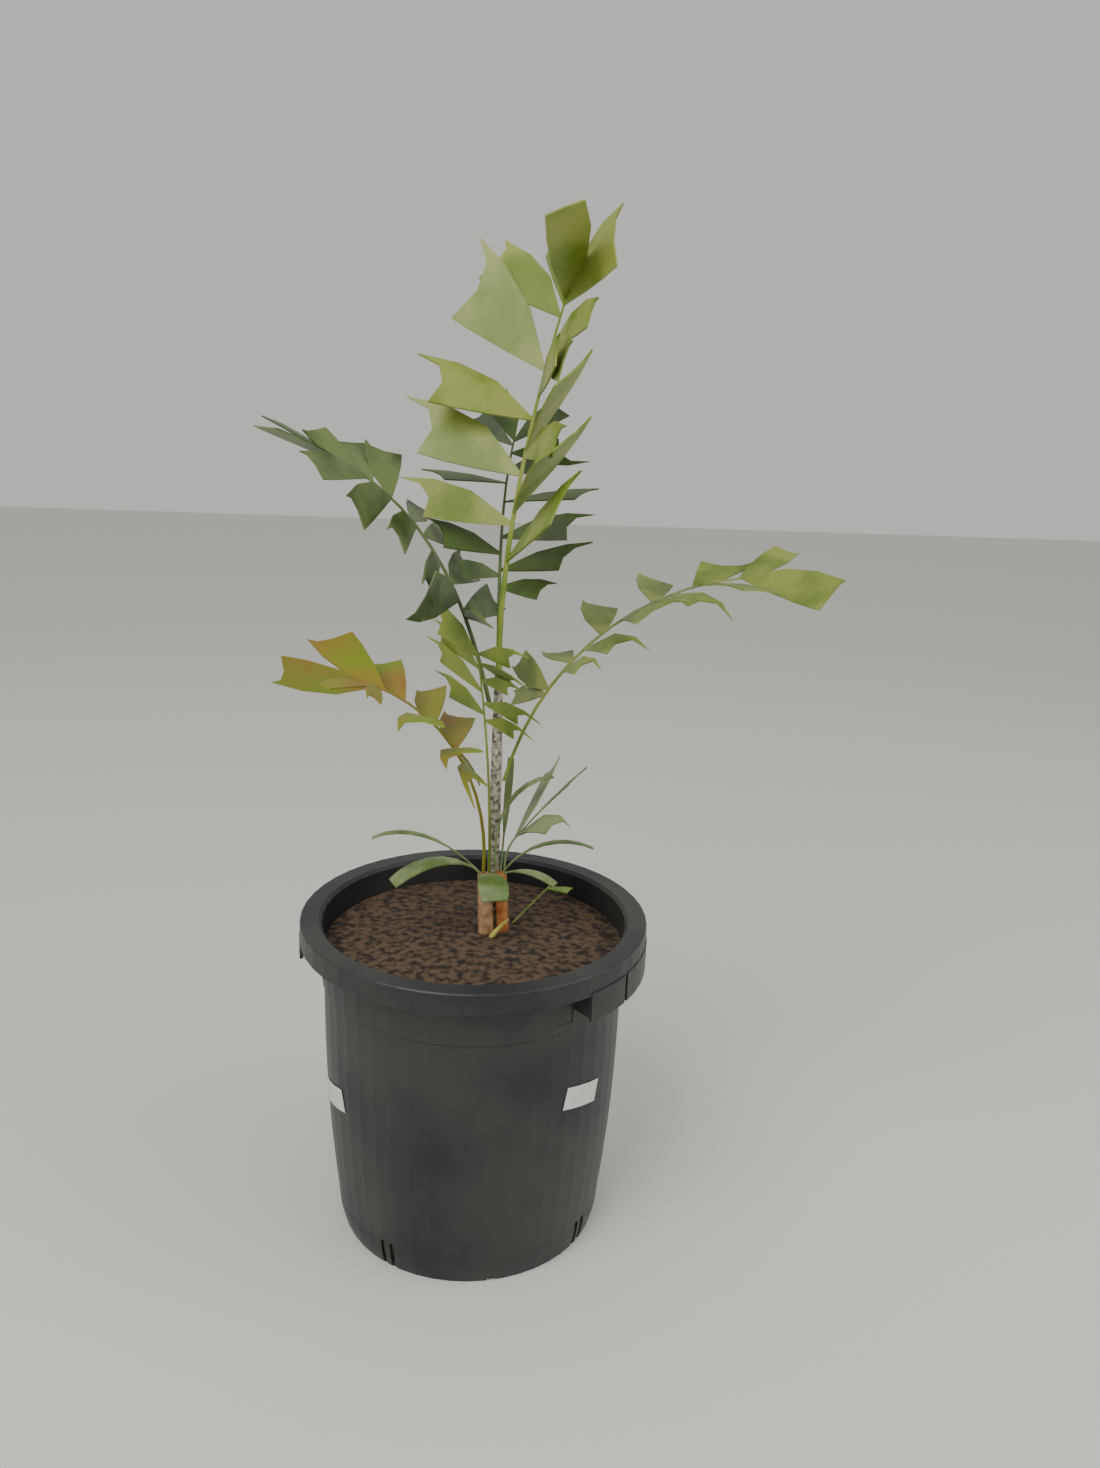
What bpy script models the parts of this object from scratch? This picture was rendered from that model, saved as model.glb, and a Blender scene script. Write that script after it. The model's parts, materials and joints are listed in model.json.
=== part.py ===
"""A young cuneate-leaved palm in a black nursery pot.

The origin is the centre of the pot's flat underside, with +Z up. The pot is first seen from -Y.
On the pot an azimuth of 0 is that front, and it grows towards +X. A plant's bearing is read from
+Y instead, as on a compass: 0 points to +Y, away from the front, and 90 points to +X.
"""

import math
from dataclasses import dataclass, field

import bmesh
import bpy
from mathutils import Vector

# Gaps between neighbours
CLEARANCE = 0.0003

# Pot
RIM_RADIUS = 0.150
RIM_WIDTH = 0.016
POT_HEIGHT = 0.288
RIM_THICKNESS = 0.003
SKIRT_DROP = 0.0175
SKIRT_THICKNESS = 0.0025
WALL_THICKNESS = 0.0025
FLOOR_THICKNESS = 0.004
FOOT_RADIUS = 0.115
CREASE_HEIGHT = 0.026
CREASE_RADIUS = 0.1195
WALL_TOP_RADIUS = 0.1302
WALL_SWELL = 2.4
COLLAR_HEIGHT = 0.232
COLLAR_STEP = 0.0018
COLLAR_TOP_RADIUS = 0.1340
POT_SIDES = 48
WALL_RINGS = 7
FOOT_RINGS = 4

# Lifting handles, each a deeper stretch of the rim's skirt
HANDLE_FIRST = 38.5
HANDLE_SLIT = (55.3, 56.7)
HANDLE_LAST = 95.0
HANDLE_LOW = 0.248
HANDLE_PROUD = 0.0005
HANDLE_WEB = 0.9
WINDOW_AZIMUTHS = (30.5, 37.5)
WINDOW_HEIGHTS = (0.241, 0.2615)
WINDOW_DEPTH = 0.0013
HALF_TURN = 180.0

# Drain slots and notches round the foot
DRAIN_AZIMUTH = 10.0
DRAIN_COUNT = 4
SLOT_WIDTH = 0.0045
SLOT_SPACING = 0.0095
SLOT_HEIGHT = 0.026
NOTCH_RADIUS = 0.005

# Soil
SOIL_LEVEL = 0.268
SOIL_EDGE_LEVEL = 0.2635
SOIL_FLAT_RADIUS = 0.050

# Blank labels, as azimuth and height of their centres
LABEL_SIZE = (0.041, 0.020)
LABEL_THICKNESS = 0.0004
LABEL_RIGHT = (45.5, 0.165, -12.0)
LABEL_LEFT = (-65.0, 0.1405, 15.0)

# Stems
STEM_BASE = (0.0150, 0.0170)
STEM_TOP = (0.0159, 0.0170, 0.5025)
STEM_RADIUS = 0.0051
STEM_TOP_RADIUS = 0.0034
STEM_FLARE = 0.0026
STEM_FLARE_HEIGHT = 0.014
SIDE_STEM_LENGTH = 0.054
FRONT_STEM_BASE = (0.0100, 0.0030)
FRONT_STEM_LEAN = (-0.0022, 0.0015)
FRONT_STEM_RADII = (0.0068, 0.0062)
RIGHT_STEM_BASE = (0.0250, 0.0060)
RIGHT_STEM_LEAN = (-0.0035, 0.0020)
RIGHT_STEM_RADII = (0.0050, 0.0056)
STALK_CIRCLE = 0.0040

# Leaves
LEFT, RIGHT = -1, 1
LEAF_THICKNESS = 0.0012
THINNEST_SHARE = 0.0115
TAIL_SHARE = 0.3
TAIL_POWER = 1.3
ACROSS = (0.0, 0.16, 0.5, 1.0)
ALONG = (0.0, 0.4, 0.72, 1.0)
RIB_STEP = 0.004
RIB_SIDES = 6
RIB_STATIONS = 12


def clear_scene():
    for obj in list(bpy.data.objects):
        bpy.data.objects.remove(obj, do_unlink=True)


def material(name, color, roughness):
    made = bpy.data.materials.new(name)
    made.use_nodes = True
    shader = made.node_tree.nodes["Principled BSDF"]
    shader.inputs["Base Color"].default_value = (*color, 1.0)
    shader.inputs["Roughness"].default_value = roughness
    shader.inputs["Metallic"].default_value = 0.0
    return made


def new_object(name, points, faces, finish=None):
    """An object made from points and faces, with its faces turned to point out."""
    mesh = bpy.data.meshes.new(name)
    mesh.from_pydata([tuple(point) for point in points], [], faces)
    work = bmesh.new()
    work.from_mesh(mesh)
    bmesh.ops.recalc_face_normals(work, faces=work.faces)
    work.to_mesh(mesh)
    work.free()
    obj = bpy.data.objects.new(name, mesh)
    bpy.context.scene.collection.objects.link(obj)
    if finish is not None:
        mesh.materials.append(finish)
    return obj


def smooth(obj, angle=35.0):
    obj.data.shade_smooth()
    obj.data.set_sharp_from_angle(angle=math.radians(angle))


def combine(body, others, operation):
    """Joins body with all the others, or cuts them from it, in one Boolean. The others are then removed."""
    group = bpy.data.collections.new("others")
    bpy.context.scene.collection.children.link(group)
    for other in others:
        for holder in other.users_collection:
            holder.objects.unlink(other)
        group.objects.link(other)
    boolean = body.modifiers.new("combine", "BOOLEAN")
    boolean.operation = operation
    boolean.operand_type = "COLLECTION"
    boolean.collection = group
    boolean.solver = "EXACT"
    bpy.context.view_layer.update()
    graph = bpy.context.evaluated_depsgraph_get()
    result = bpy.data.meshes.new_from_object(body.evaluated_get(graph))
    body.modifiers.clear()
    body.data = result
    for other in others:
        bpy.data.objects.remove(other, do_unlink=True)
    bpy.data.collections.remove(group)
    return body


def on_pot(radius, azimuth, height):
    """The point at an azimuth round the pot, in degrees from its front towards +X."""
    turn = math.radians(azimuth)
    return Vector((radius * math.sin(turn), -radius * math.cos(turn), height))


def turned(name, profile, sides, finish):
    """A solid turned about Z from (radius, height) pairs that start and end on the axis."""
    points = [Vector((0.0, 0.0, profile[0][1])), Vector((0.0, 0.0, profile[-1][1]))]
    rings = []
    for radius, height in profile[1:-1]:
        rings.append(range(len(points), len(points) + sides))
        points += [on_pot(radius, 360.0 * side / sides, height) for side in range(sides)]
    faces = []
    for side in range(sides):
        after = (side + 1) % sides
        faces.append((0, rings[0][side], rings[0][after]))
        faces.append((1, rings[-1][side], rings[-1][after]))
        for lower, upper in zip(rings, rings[1:]):
            faces.append((lower[side], lower[after], upper[after], upper[side]))
    obj = new_object(name, points, faces, finish)
    smooth(obj)
    return obj


def ring_sector(name, radii, heights, azimuths, steps=6):
    """A closed piece of a ring, between two radii, two heights and two azimuths."""
    corners = [(radii[0], heights[0]), (radii[1], heights[0]), (radii[1], heights[1]), (radii[0], heights[1])]
    points = []
    for step in range(steps + 1):
        azimuth = azimuths[0] + (azimuths[1] - azimuths[0]) * step / steps
        points += [on_pot(radius, azimuth, height) for radius, height in corners]
    faces = [(0, 1, 2, 3), tuple(4 * steps + corner for corner in range(4))]
    for step in range(steps):
        for corner in range(4):
            after = (corner + 1) % 4
            faces.append((4 * step + corner, 4 * step + after, 4 * step + 4 + after, 4 * step + 4 + corner))
    return new_object(name, points, faces)


def wall_radius(height):
    """The outer radius of the pot's wall: a foot that rounds in, a bellied wall and a collar above a step."""
    if height < CREASE_HEIGHT:
        return CREASE_RADIUS - (CREASE_RADIUS - FOOT_RADIUS) * (1.0 - height / CREASE_HEIGHT) ** 2
    if height <= COLLAR_HEIGHT:
        rise = (height - CREASE_HEIGHT) / (COLLAR_HEIGHT - CREASE_HEIGHT)
        return CREASE_RADIUS + (WALL_TOP_RADIUS - CREASE_RADIUS) * (1.0 - (1.0 - rise) ** WALL_SWELL)
    rise = (height - COLLAR_HEIGHT) / (POT_HEIGHT - COLLAR_HEIGHT)
    return WALL_TOP_RADIUS + COLLAR_STEP + (COLLAR_TOP_RADIUS - WALL_TOP_RADIUS - COLLAR_STEP) * rise


def inner_radius(height):
    """The inner radius of the pot's wall, which runs straight from the step up to the rim."""
    if height <= COLLAR_HEIGHT:
        return wall_radius(height) - WALL_THICKNESS
    under_rim = POT_HEIGHT - RIM_THICKNESS
    low, high = wall_radius(COLLAR_HEIGHT), wall_radius(under_rim)
    rise = (height - COLLAR_HEIGHT) / (under_rim - COLLAR_HEIGHT)
    return low + (high - low) * rise - WALL_THICKNESS


def wall_heights():
    """The heights at which the pot's wall has a ring of points, from the foot to the collar."""
    foot = [CREASE_HEIGHT * ring / FOOT_RINGS for ring in range(FOOT_RINGS)]
    wall = [CREASE_HEIGHT + (COLLAR_HEIGHT - CREASE_HEIGHT) * ring / WALL_RINGS for ring in range(WALL_RINGS + 1)]
    return foot + wall


def pot_profile():
    """The pot's section, out along the underside, up the wall, over the rim and back down inside."""
    inner_rim = RIM_RADIUS - RIM_WIDTH
    under_rim = POT_HEIGHT - RIM_THICKNESS
    skirt_low = POT_HEIGHT - SKIRT_DROP
    edge = 0.0010
    outside = [(wall_radius(height), height) for height in wall_heights()]
    collar = [
        (WALL_TOP_RADIUS + COLLAR_STEP, COLLAR_HEIGHT + COLLAR_STEP),
        (wall_radius(under_rim), under_rim),
    ]
    rim = [
        (RIM_RADIUS - SKIRT_THICKNESS, under_rim),
        (RIM_RADIUS - SKIRT_THICKNESS + edge / 2, skirt_low),
        (RIM_RADIUS + edge / 2, skirt_low),
        (RIM_RADIUS, POT_HEIGHT - edge),
        (RIM_RADIUS - edge, POT_HEIGHT),
        (inner_rim, POT_HEIGHT),
        (wall_radius(under_rim) - WALL_THICKNESS, under_rim),
    ]
    inside = [
        (wall_radius(height) - WALL_THICKNESS, height)
        for height in reversed(wall_heights())
        if height > FLOOR_THICKNESS
    ]
    floor = [(wall_radius(FLOOR_THICKNESS) - WALL_THICKNESS - edge, FLOOR_THICKNESS)]
    return [(0.0, 0.0)] + outside + collar + rim + inside + floor + [(0.0, FLOOR_THICKNESS)]


def handle_pieces(turn):
    """The two deep stretches of skirt of one handle, with a web at each end, turned about the pot."""
    skirt_top = POT_HEIGHT - SKIRT_DROP + SKIRT_THICKNESS
    radii = (RIM_RADIUS - SKIRT_THICKNESS + HANDLE_PROUD, RIM_RADIUS + 2 * HANDLE_PROUD)
    web_radii = (COLLAR_TOP_RADIUS - WALL_THICKNESS / 2, RIM_RADIUS - SKIRT_THICKNESS / 2)
    web_heights = (HANDLE_LOW + SKIRT_THICKNESS, POT_HEIGHT - RIM_THICKNESS / 2)
    stretches = ((HANDLE_FIRST, HANDLE_SLIT[0]), (HANDLE_SLIT[1], HANDLE_LAST))
    webs = ((HANDLE_FIRST, HANDLE_FIRST + HANDLE_WEB), (HANDLE_LAST - HANDLE_WEB, HANDLE_LAST))
    pieces = []
    for first, last in stretches:
        pieces.append(ring_sector("skirt", radii, (HANDLE_LOW, skirt_top), (first + turn, last + turn)))
    for first, last in webs:
        pieces.append(ring_sector("web", web_radii, web_heights, (first + turn, last + turn), steps=1))
    return pieces


def window_cutter(turn):
    """The shallow recess in the collar beside a handle."""
    depth = (COLLAR_TOP_RADIUS - COLLAR_STEP / 2 - WINDOW_DEPTH, COLLAR_TOP_RADIUS + COLLAR_STEP)
    azimuths = (WINDOW_AZIMUTHS[0] + turn, WINDOW_AZIMUTHS[1] + turn)
    return ring_sector("window", depth, WINDOW_HEIGHTS, azimuths, steps=2)


def drain_cutters():
    """Pairs of upright slots through the foot, and a half-round notch between each two pairs."""
    cutters = []
    spacing = 360.0 / DRAIN_COUNT
    radii = (CREASE_RADIUS - 2.2 * WALL_THICKNESS, CREASE_RADIUS + WALL_THICKNESS)
    degrees_per_metre = math.degrees(1.0 / CREASE_RADIUS)
    for count in range(DRAIN_COUNT):
        notch_azimuth = DRAIN_AZIMUTH + spacing * count
        for side in (-1, 1):
            middle = notch_azimuth + spacing / 2 + side * SLOT_SPACING / 2 * degrees_per_metre
            half = SLOT_WIDTH / 2 * degrees_per_metre
            heights = (-SLOT_WIDTH, SLOT_HEIGHT)
            cutters.append(ring_sector("slot", radii, heights, (middle - half, middle + half), steps=1))
        bpy.ops.mesh.primitive_cylinder_add(vertices=16, radius=NOTCH_RADIUS, depth=2 * NOTCH_RADIUS)
        notch = bpy.context.object
        notch.location = on_pot(FOOT_RADIUS + NOTCH_RADIUS / 2, notch_azimuth, -NOTCH_RADIUS / 4)
        notch.rotation_euler = (math.pi / 2, 0.0, math.radians(notch_azimuth))
        cutters.append(notch)
    return cutters


def make_pot():
    """The pot in one moulding: wall, floor, folded rim and two handles."""
    pot = turned("pot", pot_profile(), POT_SIDES, material("pot plastic", (0.012, 0.014, 0.018), 0.42))
    combine(pot, handle_pieces(0.0) + handle_pieces(HALF_TURN), "UNION")
    combine(pot, [window_cutter(0.0), window_cutter(HALF_TURN)] + drain_cutters(), "DIFFERENCE")
    smooth(pot)


def make_soil():
    """The potting mix, which fills the pot to just below its rim. It is slightly mounded, with a flat middle."""
    heights = [height for height in wall_heights() if height > FLOOR_THICKNESS] + [SOIL_EDGE_LEVEL]
    side = [(inner_radius(height) - CLEARANCE, height) for height in heights]
    foot = (inner_radius(FLOOR_THICKNESS) - 2 * COLLAR_STEP, FLOOR_THICKNESS + CLEARANCE)
    profile = [(0.0, FLOOR_THICKNESS + CLEARANCE), foot] + side
    profile += [(SOIL_FLAT_RADIUS, SOIL_LEVEL), (0.0, SOIL_LEVEL)]
    turned("soil", profile, POT_SIDES, material("potting mix", (0.035, 0.026, 0.020), 0.95))


def make_label(name, place, finish):
    """A blank sticker bent round the wall and turned a little in its own plane."""
    azimuth, height, tilt = place
    columns = 6
    turn = math.radians(tilt)
    points = []
    for column in range(columns + 1):
        for row in (-0.5, 0.5):
            along = (column / columns - 0.5) * LABEL_SIZE[0]
            up = row * LABEL_SIZE[1]
            level = height + along * math.sin(turn) + up * math.cos(turn)
            run = along * math.cos(turn) - up * math.sin(turn)
            radius = wall_radius(level) + CLEARANCE
            bearing = azimuth + math.degrees(run / radius)
            points.append(on_pot(radius, bearing, level))
            points.append(on_pot(radius + LABEL_THICKNESS, bearing, level))
    faces = [(0, 1, 3, 2), tuple(4 * columns + corner for corner in (0, 1, 3, 2))]
    for column in range(columns):
        for a, b in ((0, 1), (1, 3), (3, 2), (2, 0)):
            faces.append((4 * column + a, 4 * column + b, 4 * column + 4 + b, 4 * column + 4 + a))
    new_object(name, points, faces, finish)


def heading(lean, bearing):
    """The way that something points which leans so many degrees from upright, towards a bearing."""
    tilt, turn = math.radians(lean), math.radians(bearing)
    return Vector((math.sin(tilt) * math.sin(turn), math.sin(tilt) * math.cos(turn), math.cos(tilt)))


@dataclass
class Rib:
    """The midline of a frond. It leaves its root at one lean and bearing and arches over to another."""

    root: tuple
    length: float
    lean: tuple
    bearing: tuple
    curve: float = 1.0
    radius: tuple = (0.0018, 0.0008)

    def share(self, at, ends, power=1.0):
        return ends[0] + (ends[1] - ends[0]) * (at / self.length) ** power

    def direction(self, at):
        return heading(self.share(at, self.lean, self.curve), self.share(at, self.bearing))

    def point(self, at):
        steps = max(1, round(at / RIB_STEP))
        place = Vector(self.root)
        for step in range(steps):
            place += self.direction((step + 0.5) * at / steps) * (at / steps)
        return place

    def frame(self, at):
        """The point on the rib, the way it runs, the way its upper side faces and its right side."""
        forward = self.direction(at)
        turn = math.radians(self.share(at, self.bearing))
        right = Vector((math.cos(turn), -math.sin(turn), 0.0))
        return self.point(at), forward, right.cross(forward), right


@dataclass
class Leaflet:
    """One wedge-shaped leaflet. Lengths are in metres and angles in degrees.

    at: how far along the rib it starts; side: LEFT or RIGHT of it
    out: the angle between rib and tail; lift: how far it rises from the frond's plane
    long: from its base to the tip of its tail; short: the length of its other margin, as a share
    spread: the angle between its margins, below 0 where the tail is on the lower margin
    roll: the blade's turn about its tail's line; droop: how far its tip hangs, as a share of long
    """

    at: float
    side: int
    out: float
    long: float
    spread: float = 25.0
    short: float = 0.65
    lift: float = 20.0
    roll: float = 0.0
    droop: float = 0.05
    bow: float = 0.10


@dataclass
class Frond:
    """A leaf on its rib: leaflets, or a strap, whose width and start are given, or both."""

    rib: Rib
    leaflets: list = field(default_factory=list)
    strap: tuple = ()


def reach(leaflet, across):
    """How far a leaflet's rays reach, as a share of its length, from its tail to its other margin."""
    tail = max(0.0, 1.0 - across / TAIL_SHARE) ** TAIL_POWER
    return leaflet.short + (1.0 - leaflet.short) * tail


def leaflet_axes(rib, leaflet):
    """A leaflet's base, and the directions along its tail, across its blade and out of its upper face."""
    base, forward, up, right = rib.frame(leaflet.at)
    out, lift, roll = (math.radians(angle) for angle in (leaflet.out, leaflet.lift, leaflet.roll))
    side = right * (leaflet.side * math.cos(lift)) + up * math.sin(lift)
    along = forward * math.cos(out) + side * math.sin(out)
    across = side * math.cos(out) - forward * math.sin(out)
    face = across.cross(along) * leaflet.side
    across, face = across * math.cos(roll) + face * math.sin(roll), face * math.cos(roll) - across * math.sin(roll)
    return base, along, across, face


def leaflet_point(axes, leaflet, across, along, root_width):
    """A point of the blade: across runs from the tail's margin to the other one, along from base to end."""
    base, tail, side, _ = axes
    distance = along * reach(leaflet, across)
    angle = across * math.radians(abs(leaflet.spread))
    bowed = leaflet.bow * math.sin(math.pi * distance) * (1.0 - 1.4 * across)
    sideways = math.copysign(1.0, leaflet.spread) * (distance * math.sin(angle) - bowed)
    point = base + leaflet.long * (tail * (distance * math.cos(angle)) + side * sideways)
    point += side * math.copysign(root_width * (1.0 - along), leaflet.spread) * (across - 0.5)
    point.z -= leaflet.droop * leaflet.long * distance * distance
    return point


def blade_solid(name, rows, face, thickness):
    """A thin closed blade from rows of points, which keep their order from one row to the next."""
    width = len(rows[0])
    half = face * (thickness / 2)
    tops = [point + half for row in rows for point in row]
    bottoms = [point - half for row in rows for point in row]
    count = len(tops)
    faces = []
    for row in range(len(rows) - 1):
        for column in range(width - 1):
            a = row * width + column
            faces.append((a, a + 1, a + width + 1, a + width))
            faces.append((count + a, count + a + width, count + a + width + 1, count + a + 1))
    first, last = range(width), range(count - width, count)
    left, right = range(0, count, width), range(width - 1, count, width)
    for border in (first, last, left, right):
        for a, b in zip(border, border[1:]):
            faces.append((a, b, count + b, count + a))
    return new_object(name, tops + bottoms, faces)


def leaflet_solid(rib, leaflet):
    axes = leaflet_axes(rib, leaflet)
    root_width = 1.5 * rib.share(leaflet.at, rib.radius)
    thickness = max(LEAF_THICKNESS, THINNEST_SHARE * leaflet.long)
    rows = [[leaflet_point(axes, leaflet, across, along, root_width) for along in ALONG] for across in ACROSS]
    return blade_solid("leaflet", rows, axes[3], thickness)


def strap_solid(rib, start, width):
    """An undivided blade along a rib, widest past its middle, with a blunt end."""
    rows = []
    stations = 6
    for station in range(stations + 1):
        share = station / stations
        at = start + (rib.length - start) * share
        point, forward, up, right = rib.frame(at)
        half = width / 2 * (0.12 + 0.88 * math.sin(math.pi * min(share * 0.72, 1.0)) ** 0.8)
        rows.append([point - right * half, point + up * (0.12 * half), point + right * half])
    middle = rib.frame((start + rib.length) / 2)[2]
    return blade_solid("strap", rows, middle, max(LEAF_THICKNESS, THINNEST_SHARE * (rib.length - start)))


def tube(name, stations, sides, finish=None):
    """A closed tube through (point, side, up, radius) stations."""
    points = []
    for point, side, up, radius in stations:
        for corner in range(sides):
            turn = 2 * math.pi * corner / sides
            points.append(point + (side * math.cos(turn) + up * math.sin(turn)) * radius)
    faces = [tuple(range(sides)), tuple(range(len(points) - sides, len(points)))]
    for station in range(len(stations) - 1):
        for corner in range(sides):
            a, b = station * sides + corner, station * sides + (corner + 1) % sides
            faces.append((a, b, b + sides, a + sides))
    return new_object(name, points, faces, finish)


def rib_tube(name, rib, finish, last):
    """The rib as a tube, with a level cut at its root so that it stands flat on what carries it."""
    stations = []
    for station in range(RIB_STATIONS + 1):
        at = last * station / RIB_STATIONS
        point, _, up, right = rib.frame(at)
        if station == 0:
            up = right.cross(Vector((0.0, 0.0, 1.0)))
        stations.append((point, right, up, rib.share(at, rib.radius)))
    return tube(name, stations, RIB_SIDES, finish)


def make_frond(name, frond, finish):
    """A frond's rib with its leaflets and strap joined on."""
    last = frond.rib.length
    pieces = [leaflet_solid(frond.rib, leaflet) for leaflet in frond.leaflets]
    if frond.strap:
        start, width = frond.strap
        pieces.append(strap_solid(frond.rib, start, width))
        last = (start + last) / 2
    body = rib_tube(name, frond.rib, finish, last)
    combine(body, pieces, "UNION")
    smooth(body)


def stem_radius(height):
    """The main stem's radius: a root flare on an even taper."""
    above = height - SOIL_LEVEL
    share = above / (STEM_TOP[2] - SOIL_LEVEL)
    taper = STEM_RADIUS + (STEM_TOP_RADIUS - STEM_RADIUS) * share ** 3
    return taper + STEM_FLARE * math.exp(-above / STEM_FLARE_HEIGHT)


def stem_point(height):
    """The main stem's centre, which leans to the right low down and is upright above."""
    share = (height - SOIL_LEVEL) / (STEM_TOP[2] - SOIL_LEVEL)
    base = Vector((*STEM_BASE, SOIL_LEVEL))
    top = Vector(STEM_TOP)
    place = base.lerp(top, 1.0 - (1.0 - share) ** 2)
    return Vector((place.x, place.y, height))


def make_stem(finish):
    stations = []
    count = 14
    low = SOIL_LEVEL + CLEARANCE
    for station in range(count + 1):
        height = low + (STEM_TOP[2] - low) * (station / count) ** 1.4
        stations.append((stem_point(height), Vector((1, 0, 0)), Vector((0, 1, 0)), stem_radius(height)))
    smooth(tube("stem_main", stations, 12, finish))


def side_stem_top(base, lean):
    return Vector((base[0] + lean[0], base[1] + lean[1], SOIL_LEVEL + SIDE_STEM_LENGTH))


def make_side_stem(name, base, lean, radii, finish):
    """A short sheathed side shoot of the clump, from a flat cut at soil level."""
    low = Vector((*base, SOIL_LEVEL + CLEARANCE))
    high = side_stem_top(base, lean)
    stations = []
    count = 5
    for station in range(count + 1):
        share = station / count
        radius = radii[0] + (radii[1] - radii[0]) * share
        stations.append((low.lerp(high, share), Vector((1, 0, 0)), Vector((0, 1, 0)), radius))
    smooth(tube(name, stations, 10, finish))


def stalk_root(base, lean, bearing):
    """Where a stalk stands on the top of a side stem, towards a bearing."""
    turn = math.radians(bearing)
    place = side_stem_top(base, lean)
    place += Vector((math.sin(turn), math.cos(turn), 0.0)) * STALK_CIRCLE
    return (place.x, place.y, place.z + CLEARANCE)


def stem_side_root(height, bearing, radius):
    """Where a stalk of some radius starts, clear of the main stem's side, towards a bearing."""
    turn = math.radians(bearing)
    place = stem_point(height)
    place += Vector((math.sin(turn), math.cos(turn), 0.0)) * (stem_radius(height) + CLEARANCE + radius)
    return tuple(place)


def top_frond():
    """The newest frond, which stands upright on the stem and turns its upper face to the front left."""
    root = (STEM_TOP[0], STEM_TOP[1], STEM_TOP[2] + CLEARANCE)
    rib = Rib(root, 0.305, (-4, 21), (50, 50), 0.6, (0.0027, 0.0009))
    return Frond(rib, [
        Leaflet(0.090, RIGHT, 55, 0.145, 15, 0.80, lift=20, roll=25),
        Leaflet(0.120, LEFT, 75, 0.110, 15, 0.70, lift=30, roll=5),
        Leaflet(0.130, RIGHT, 55, 0.140, 20, 0.80, lift=20, roll=50),
        Leaflet(0.160, LEFT, 65, 0.125, 20, 0.70, lift=30, roll=20, bow=0.13),
        Leaflet(0.175, RIGHT, 80, 0.120, 10, 0.80, lift=30),
        Leaflet(0.180, RIGHT, 55, 0.130, 15, 0.85, lift=25, roll=40),
        Leaflet(0.205, LEFT, 70, 0.120, 25, 0.70, lift=30, roll=40, bow=0.13),
        Leaflet(0.225, RIGHT, 75, 0.115, 10, 0.90, lift=40, roll=-10),
        Leaflet(0.245, LEFT, 40, 0.135, 30, 0.70, lift=30, bow=0.08),
        Leaflet(0.250, RIGHT, 90, 0.115, 15, 0.85, lift=35),
        Leaflet(0.265, RIGHT, 80, 0.115, 10, 0.90, lift=30),
        Leaflet(0.290, LEFT, 50, 0.095, 25, 0.85, lift=20, roll=20, bow=0.13),
        Leaflet(0.300, LEFT, 25, 0.075, 20, 0.80, lift=25, roll=-50),
        Leaflet(0.300, RIGHT, 60, 0.115, 20, 0.80, lift=30, roll=-20),
        Leaflet(0.304, RIGHT, 70, 0.120, 15, 1.00, lift=45, roll=50),
    ])


def back_frond():
    """The frond behind the newest one, which leans away from the front."""
    radius = 0.0018
    rib = Rib(stem_side_root(0.485, -5, radius), 0.240, (3, 52), (-5, 12), 0.8, (radius, 0.0009))
    return Frond(rib, [
        Leaflet(0.085, RIGHT, 90, 0.055, 20, 0.75, lift=30, roll=20),
        Leaflet(0.095, LEFT, 80, 0.045, 20, 0.80, lift=30),
        Leaflet(0.100, RIGHT, 75, 0.085, 25, 0.70, lift=20, roll=35),
        Leaflet(0.115, LEFT, 70, 0.070, 25, 0.75, lift=20, roll=20),
        Leaflet(0.130, RIGHT, 80, 0.085, 15, 0.70, lift=20),
        Leaflet(0.165, RIGHT, 85, 0.085, 20, 0.85, lift=15, roll=40),
        Leaflet(0.185, LEFT, 90, 0.075, 25, 0.80, lift=15, roll=40),
        Leaflet(0.200, RIGHT, 100, 0.060, 20, 0.85, lift=40),
        Leaflet(0.220, RIGHT, 105, 0.080, -15, 0.60, lift=15, roll=-40),
        Leaflet(0.230, LEFT, 55, 0.060, -15, 0.80, lift=5, roll=-25),
        Leaflet(0.235, RIGHT, 30, 0.070, 25, 0.80, lift=10),
        Leaflet(0.237, LEFT, 15, 0.075, 25, 0.80, lift=10),
    ])


def left_frond():
    """The dark frond that arches over to the left."""
    radius = 0.0020
    rib = Rib(stem_side_root(0.468, -80, radius), 0.246, (14, 65), (-80, -80), 1.7, (radius, 0.0010))
    return Frond(rib, [
        Leaflet(0.080, LEFT, 80, 0.070, 20, 0.60, lift=30, roll=30, droop=0.2),
        Leaflet(0.085, RIGHT, 100, 0.080, -20, 0.75, lift=15),
        Leaflet(0.095, LEFT, 80, 0.115, -20, 0.75, lift=-5, roll=-40, droop=0.1),
        Leaflet(0.110, RIGHT, 70, 0.070, 30, 0.70, lift=5, roll=20),
        Leaflet(0.130, LEFT, 80, 0.090, 20, 0.75, lift=10, roll=-20, droop=0.3),
        Leaflet(0.155, RIGHT, 100, 0.080, -15, 0.70, lift=5),
        Leaflet(0.165, LEFT, 75, 0.085, 20, 0.75, lift=10, roll=-20, droop=0.25),
        Leaflet(0.170, RIGHT, 85, 0.080, -15, 0.80, lift=0, roll=15),
        Leaflet(0.195, LEFT, 75, 0.090, 20, 0.85, lift=5, roll=-30, droop=0.15),
        Leaflet(0.195, RIGHT, 40, 0.075, 25, 0.80, lift=15, roll=20),
        Leaflet(0.215, RIGHT, 40, 0.075, 20, 0.90, lift=0, roll=30),
        Leaflet(0.220, LEFT, 55, 0.080, 20, 0.85, lift=5, roll=-20, droop=0.1),
        Leaflet(0.230, RIGHT, 10, 0.060, 20, 0.90, lift=20, roll=10),
        Leaflet(0.240, LEFT, 45, 0.090, 15, 0.95, lift=5, roll=20),
        Leaflet(0.243, RIGHT, 5, 0.080, 20, 0.95, lift=25, roll=-30),
    ])


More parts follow.
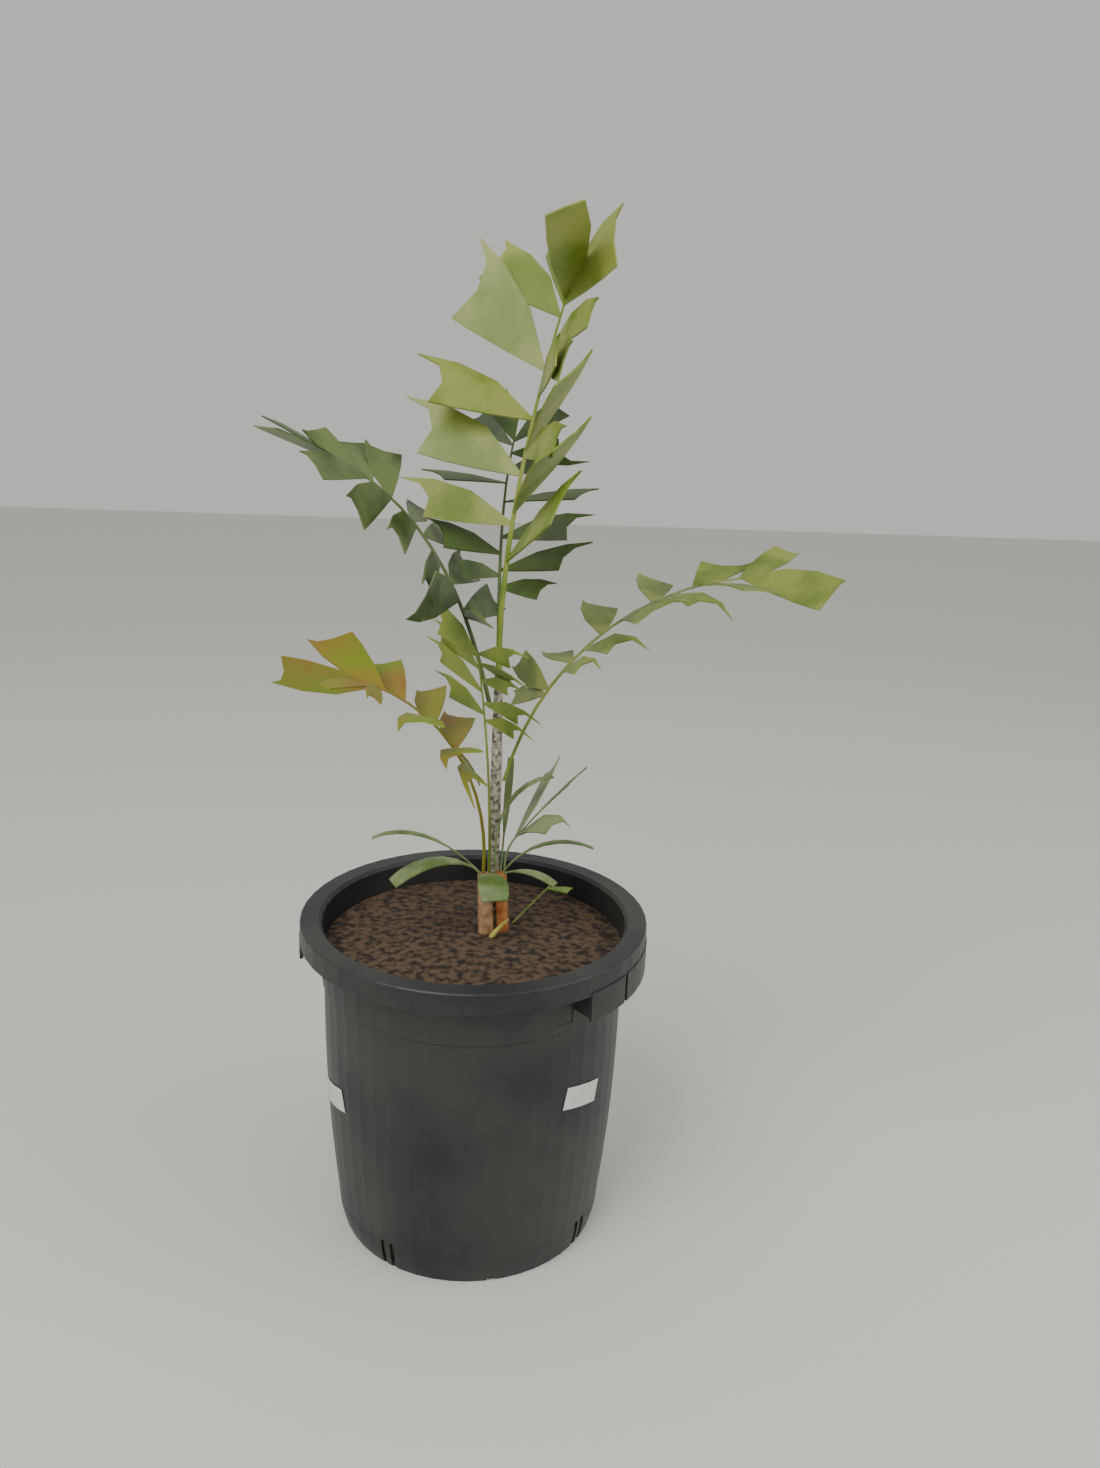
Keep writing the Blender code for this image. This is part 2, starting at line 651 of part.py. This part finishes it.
def low_left_frond():
    """The older frond on the front stem, which droops to the left with yellowed leaflets."""
    root = stalk_root(FRONT_STEM_BASE, FRONT_STEM_LEAN, -15)
    rib = Rib(root, 0.216, (-3, 66), (-115, -115), 1.1, (0.0016, 0.0010))
    return Frond(rib, [
        Leaflet(0.105, LEFT, 70, 0.095, 20, 0.45, lift=-10, roll=30, droop=0.3),
        Leaflet(0.120, LEFT, 55, 0.090, 25, 0.60, lift=-10, roll=60, droop=0.3),
        Leaflet(0.120, RIGHT, 90, 0.085, 20, 0.80, lift=20, roll=60),
        Leaflet(0.125, RIGHT, 140, 0.060, -25, 0.80, lift=30, roll=20, droop=0.4),
        Leaflet(0.150, RIGHT, 90, 0.080, 20, 0.85, lift=15, roll=70),
        Leaflet(0.155, LEFT, 45, 0.105, 20, 0.65, lift=-5, roll=30, droop=0.3),
        Leaflet(0.185, RIGHT, 80, 0.080, 20, 0.85, lift=10, roll=50),
        Leaflet(0.205, RIGHT, 50, 0.085, 25, 0.85, lift=10, roll=40),
        Leaflet(0.210, LEFT, 60, 0.070, 10, 0.75, lift=0, roll=-20, droop=0.1),
        Leaflet(0.213, RIGHT, 60, 0.105, -15, 0.85, lift=-20, roll=-40),
        Leaflet(0.215, LEFT, 35, 0.080, 5, 0.90, lift=-5, droop=0.1),
    ])


def right_frond():
    """The long frond that arches over to the right, with fans that stand above its rib."""
    radius = 0.0017
    rib = Rib(stem_side_root(0.404, 95, radius), 0.282, (15, 83), (95, 95), 1.17, (radius, 0.0009))
    return Frond(rib, [
        Leaflet(0.085, LEFT, 110, 0.080, 10, 0.85, lift=15),
        Leaflet(0.090, LEFT, 100, 0.080, -15, 0.85, lift=25, roll=-10),
        Leaflet(0.110, RIGHT, 55, 0.090, 10, 0.50, lift=0, droop=0.25),
        Leaflet(0.120, LEFT, 105, 0.075, -20, 0.60, lift=15, roll=40),
        Leaflet(0.135, RIGHT, 50, 0.105, 10, 0.50, lift=-5, droop=0.25),
        Leaflet(0.155, LEFT, 90, 0.075, -25, 0.85, lift=20, roll=45),
        Leaflet(0.175, RIGHT, 40, 0.095, 30, 0.60, lift=10, roll=-5, droop=0.25),
        Leaflet(0.205, LEFT, 90, 0.075, -25, 0.85, lift=15, roll=40),
        Leaflet(0.220, RIGHT, 60, 0.095, 10, 0.50, lift=0, droop=0.25),
        Leaflet(0.240, LEFT, 30, 0.070, 40, 0.60, lift=5, roll=20),
        Leaflet(0.245, RIGHT, 50, 0.100, 15, 0.80, lift=5, roll=15, droop=0.2),
        Leaflet(0.278, LEFT, 40, 0.075, 15, 0.90, lift=15, roll=15),
        Leaflet(0.280, RIGHT, 40, 0.095, 20, 0.95, lift=5, roll=-40),
    ])


def thin_frond():
    """The slight frond on a thin stalk, which leans a little to the front left, with short leaflets."""
    root = stalk_root(FRONT_STEM_BASE, FRONT_STEM_LEAN, 100)
    rib = Rib(root, 0.200, (0, 10), (-120, -120), 1.1, (0.0014, 0.0007))
    return Frond(rib, [
        Leaflet(0.140, LEFT, 85, 0.060, 10, 0.60, lift=10, droop=0.15),
        Leaflet(0.145, RIGHT, 60, 0.070, 15, 0.65, lift=-10, droop=0.1),
        Leaflet(0.155, LEFT, 90, 0.065, 10, 0.60, lift=15, droop=0.1),
        Leaflet(0.165, RIGHT, 55, 0.080, 10, 0.70, lift=-10, droop=0.1),
        Leaflet(0.175, LEFT, 85, 0.055, 10, 0.60, lift=10, droop=0.1),
        Leaflet(0.185, RIGHT, 55, 0.070, 15, 0.80, lift=-5, droop=0.1),
        Leaflet(0.190, LEFT, 95, 0.060, 20, 0.60, lift=10, roll=30, droop=0.1),
        Leaflet(0.195, RIGHT, 50, 0.075, 20, 0.70, lift=-5, roll=-10, droop=0.1),
        Leaflet(0.198, LEFT, 80, 0.060, 15, 0.60, lift=15, droop=0.1),
    ])


def basal_leaves():
    """The small leaves of the two side stems, by name, with undivided blades or a few narrow leaflets."""
    front = (FRONT_STEM_BASE, FRONT_STEM_LEAN)
    right = (RIGHT_STEM_BASE, RIGHT_STEM_LEAN)
    thin = (0.0010, 0.0006)
    return {
        "leaf_arching_left": Frond(
            Rib(stalk_root(*front, -68), 0.106, (48, 118), (-78, -85), 1.6, thin), strap=(0.035, 0.008)),
        "leaf_broad_left": Frond(
            Rib(stalk_root(*front, -118), 0.088, (30, 128), (-110, -112), 0.7, thin), strap=(0.012, 0.022)),
        "leaf_broad_front": Frond(
            Rib(stalk_root(*front, 165), 0.042, (45, 150), (165, 170), 0.8, thin), strap=(0.004, 0.026)),
        "leaf_front_right": Frond(
            Rib(stalk_root(*right, 125), 0.050, (60, 122), (112, 115), 0.9, thin), strap=(0.008, 0.012)),
        "leaf_back_right": Frond(
            Rib(stalk_root(*right, 50), 0.092, (35, 118), (68, 75), 0.8, thin), strap=(0.020, 0.008)),
        "leaf_palmate_right": Frond(
            Rib(stalk_root(*right, 90), 0.038, (-8, 40), (95, 95), 1.0, (0.0012, 0.0009)), [
                Leaflet(0.034, LEFT, 35, 0.088, 8, 0.8, lift=8, droop=0.02),
                Leaflet(0.036, RIGHT, 8, 0.100, 9, 0.8, lift=10, droop=0.10),
                Leaflet(0.037, RIGHT, 40, 0.110, 8, 0.7, lift=6, droop=0.32),
            ]),
        "leaf_arching_right": Frond(
            Rib(stalk_root(*right, -90), 0.112, (-4, 92), (75, 80), 1.8, thin), strap=(0.040, 0.008)),
        "leaf_upright": Frond(
            Rib(stalk_root(*right, 5), 0.100, (20, 6), (10, 30), 1.0, thin), strap=(0.030, 0.007)),
    }


def make_shoot(finish):
    """The yellow new shoot that pokes out of the soil in front of the stems."""
    rib = Rib((0.0150, -0.0070, SOIL_LEVEL + CLEARANCE), 0.022, (35, 50), (85, 85), 1.0, (0.0026, 0.0010))
    smooth(rib_tube("new_shoot", rib, finish, rib.length))


def make_seedling(finish):
    """A weed seedling: a thread of a stem that runs over the soil to one small leaf."""
    rib = Rib((0.034, 0.020, SOIL_LEVEL + 0.0012), 0.066, (78, 78), (34, 34), 1.0, (0.0008, 0.0006))
    make_frond("seedling", Frond(rib, [Leaflet(0.060, RIGHT, 60, 0.024, 32, 0.9, lift=0, roll=10)]), finish)


def main():
    clear_scene()
    bark = material("pale stem", (0.42, 0.38, 0.31), 0.75)
    sheath = material("tan sheath", (0.46, 0.28, 0.15), 0.70)
    orange = material("orange sheath", (0.55, 0.22, 0.07), 0.65)
    bright = material("bright leaf", (0.20, 0.27, 0.03), 0.45)
    dark = material("dark leaf", (0.05, 0.11, 0.02), 0.45)
    yellowed = material("yellowed leaf", (0.22, 0.27, 0.02), 0.50)
    label = material("blank label", (0.75, 0.74, 0.72), 0.60)
    make_pot()
    make_soil()
    make_label("label_right", LABEL_RIGHT, label)
    make_label("label_left", LABEL_LEFT, label)
    make_stem(bark)
    make_side_stem("stem_front", FRONT_STEM_BASE, FRONT_STEM_LEAN, FRONT_STEM_RADII, sheath)
    make_side_stem("stem_right", RIGHT_STEM_BASE, RIGHT_STEM_LEAN, RIGHT_STEM_RADII, orange)
    make_frond("frond_top", top_frond(), bright)
    make_frond("frond_back", back_frond(), dark)
    make_frond("frond_left", left_frond(), dark)
    make_frond("frond_low_left", low_left_frond(), yellowed)
    make_frond("frond_right", right_frond(), bright)
    make_frond("frond_thin", thin_frond(), bright)
    for name, leaf in basal_leaves().items():
        make_frond(name, leaf, dark)
    make_shoot(yellowed)
    make_seedling(yellowed)


main()
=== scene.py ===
import json
import math

import bpy
from mathutils import Matrix, Vector

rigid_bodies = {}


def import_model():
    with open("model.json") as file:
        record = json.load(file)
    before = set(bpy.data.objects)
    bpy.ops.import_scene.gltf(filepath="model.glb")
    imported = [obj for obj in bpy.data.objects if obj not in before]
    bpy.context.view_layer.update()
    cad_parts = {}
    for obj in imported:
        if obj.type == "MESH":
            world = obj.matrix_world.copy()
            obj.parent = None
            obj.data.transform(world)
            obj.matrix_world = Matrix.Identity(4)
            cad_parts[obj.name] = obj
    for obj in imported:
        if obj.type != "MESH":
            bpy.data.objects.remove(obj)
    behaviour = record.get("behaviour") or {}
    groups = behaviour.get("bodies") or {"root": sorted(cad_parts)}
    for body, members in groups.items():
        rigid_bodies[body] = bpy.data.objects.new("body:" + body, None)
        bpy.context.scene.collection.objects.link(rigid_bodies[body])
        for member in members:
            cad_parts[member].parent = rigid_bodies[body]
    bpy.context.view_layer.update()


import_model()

# Camera, as fitted to the pot's rim and foot in the photo
CAMERA_PLACE = Vector((0.0, -0.9672, 0.7269))
CAMERA_YAW = math.radians(3.54)
CAMERA_PITCH = math.radians(15.88)
CAMERA_ROLL = math.radians(2.18)
CAMERA_LENS = 29.43
CAMERA_SENSOR = 36.0

# Studio
BACKGROUND = (226, 226, 220)
FLOOR_COLOR = (222, 222, 217)
FLOOR_SIZE = 12.0
WORLD_STRENGTH = 0.75
KEY_LIGHT = ((-0.9, -1.3, 2.2), 1.4, 34.0)
FILL_LIGHT = ((1.6, -0.6, 1.5), 1.6, 12.0)

# Per node: two colours that a noise mixes, the noise's scale per metre, the roughness and the relief
LOOKS = {
    "pot": ((24, 27, 34), (50, 50, 48), 9.0, 0.42, 0.05),
    "soil": ((34, 27, 22), (92, 74, 56), 150.0, 0.95, 1.0),
    "label_right": ((224, 221, 219), (218, 214, 210), 20.0, 0.60, 0.0),
    "label_left": ((224, 221, 219), (218, 214, 210), 20.0, 0.60, 0.0),
    "stem_main": ((92, 84, 68), (192, 187, 172), 240.0, 0.75, 0.3),
    "stem_front": ((150, 112, 78), (195, 156, 116), 110.0, 0.70, 0.3),
    "stem_right": ((170, 98, 48), (210, 138, 78), 110.0, 0.65, 0.3),
    "frond_top": ((112, 132, 34), (148, 158, 74), 22.0, 0.45, 0.1),
    # frond_back: darker greens than the other fronds, partly the leaves' own dark green and partly
    # painted shade
    "frond_back": ((44, 66, 18), (74, 96, 34), 22.0, 0.45, 0.1),
    # frond_left: dark leaf green mixed by the noise with a lighter grey-green that is a painted sheen of
    # the sky on the leaf tops
    "frond_left": ((50, 74, 20), (104, 122, 66), 22.0, 0.45, 0.1),
    "frond_low_left": ((150, 112, 40), (124, 140, 26), 14.0, 0.50, 0.1),
    "frond_right": ((92, 112, 30), (138, 150, 66), 22.0, 0.45, 0.1),
    "frond_thin": ((96, 116, 32), (134, 148, 58), 22.0, 0.45, 0.1),
    "new_shoot": ((176, 160, 60), (204, 192, 92), 60.0, 0.55, 0.1),
    "seedling": ((104, 132, 44), (128, 152, 60), 60.0, 0.50, 0.1),
}
BASAL_LOOK = ((84, 108, 46), (132, 148, 98), 30.0, 0.42, 0.1)


def linear(color):
    """A colour given in sRGB steps of 255, as linear values with full alpha."""
    return (*(((step / 255.0 + 0.055) / 1.055) ** 2.4 for step in color), 1.0)


def mottled(name, look):
    """A material whose base colour is mixed from two plain colours by a noise, with a slight relief."""
    first, second, scale, roughness, relief = look
    made = bpy.data.materials.new(name)
    made.use_nodes = True
    nodes, links = made.node_tree.nodes, made.node_tree.links
    shader = nodes["Principled BSDF"]
    place = nodes.new("ShaderNodeTexCoord")
    noise = nodes.new("ShaderNodeTexNoise")
    noise.inputs["Scale"].default_value = scale
    noise.inputs["Detail"].default_value = 6.0
    ramp = nodes.new("ShaderNodeValToRGB")
    ramp.color_ramp.elements[0].position = 0.38
    ramp.color_ramp.elements[0].color = linear(first)
    ramp.color_ramp.elements[1].position = 0.58
    ramp.color_ramp.elements[1].color = linear(second)
    links.new(place.outputs["Object"], noise.inputs["Vector"])
    links.new(noise.outputs["Fac"], ramp.inputs["Fac"])
    links.new(ramp.outputs["Color"], shader.inputs["Base Color"])
    shader.inputs["Roughness"].default_value = roughness
    if relief:
        bump = nodes.new("ShaderNodeBump")
        bump.inputs["Strength"].default_value = relief
        bump.inputs["Distance"].default_value = 0.001
        links.new(noise.outputs["Fac"], bump.inputs["Height"])
        links.new(bump.outputs["Normal"], shader.inputs["Normal"])
    return made


def dress_nodes():
    """Gives each node of the part its own material."""
    for obj in list(bpy.data.objects):
        if obj.type != "MESH":
            continue
        look = LOOKS.get(obj.name, BASAL_LOOK)
        obj.data.materials.clear()
        obj.data.materials.append(mottled(obj.name, look))


def make_floor():
    bpy.ops.mesh.primitive_plane_add(size=FLOOR_SIZE)
    floor = bpy.context.object
    floor.name = "floor"
    plain = bpy.data.materials.new("floor")
    plain.use_nodes = True
    shader = plain.node_tree.nodes["Principled BSDF"]
    shader.inputs["Base Color"].default_value = linear(FLOOR_COLOR)
    shader.inputs["Roughness"].default_value = 0.9
    floor.data.materials.append(plain)


def make_light(name, light):
    """A square area light that faces the middle of the plant."""
    place, size, power = light
    data = bpy.data.lights.new(name, "AREA")
    data.size = size
    data.energy = power
    lamp = bpy.data.objects.new(name, data)
    lamp.location = place
    lamp.rotation_euler = (Vector((0.0, 0.0, 0.45)) - Vector(place)).to_track_quat("-Z", "Y").to_euler()
    bpy.context.scene.collection.objects.link(lamp)


def make_world():
    world = bpy.data.worlds.new("studio")
    world.use_nodes = True
    background = world.node_tree.nodes["Background"]
    background.inputs["Color"].default_value = linear(BACKGROUND)
    background.inputs["Strength"].default_value = WORLD_STRENGTH
    bpy.context.scene.world = world


def make_camera():
    """The camera at the photo's place and angle, with the photo's small roll."""
    yaw, pitch, roll = CAMERA_YAW, CAMERA_PITCH, CAMERA_ROLL
    forward = Vector((math.sin(yaw) * math.cos(pitch), math.cos(yaw) * math.cos(pitch), -math.sin(pitch)))
    right = Vector((math.cos(yaw), -math.sin(yaw), 0.0))
    up = right.cross(forward)
    across = right * math.cos(roll) + up * math.sin(roll)
    upward = up * math.cos(roll) - right * math.sin(roll)
    turn = Matrix((across, upward, -forward)).transposed().to_4x4()
    data = bpy.data.cameras.new("camera")
    data.lens = CAMERA_LENS
    data.sensor_width = CAMERA_SENSOR
    camera = bpy.data.objects.new("camera", data)
    camera.matrix_world = Matrix.Translation(CAMERA_PLACE) @ turn
    bpy.context.scene.collection.objects.link(camera)
    bpy.context.scene.camera = camera


dress_nodes()
make_floor()
make_light("key", KEY_LIGHT)
make_light("fill", FILL_LIGHT)
make_world()
make_camera()
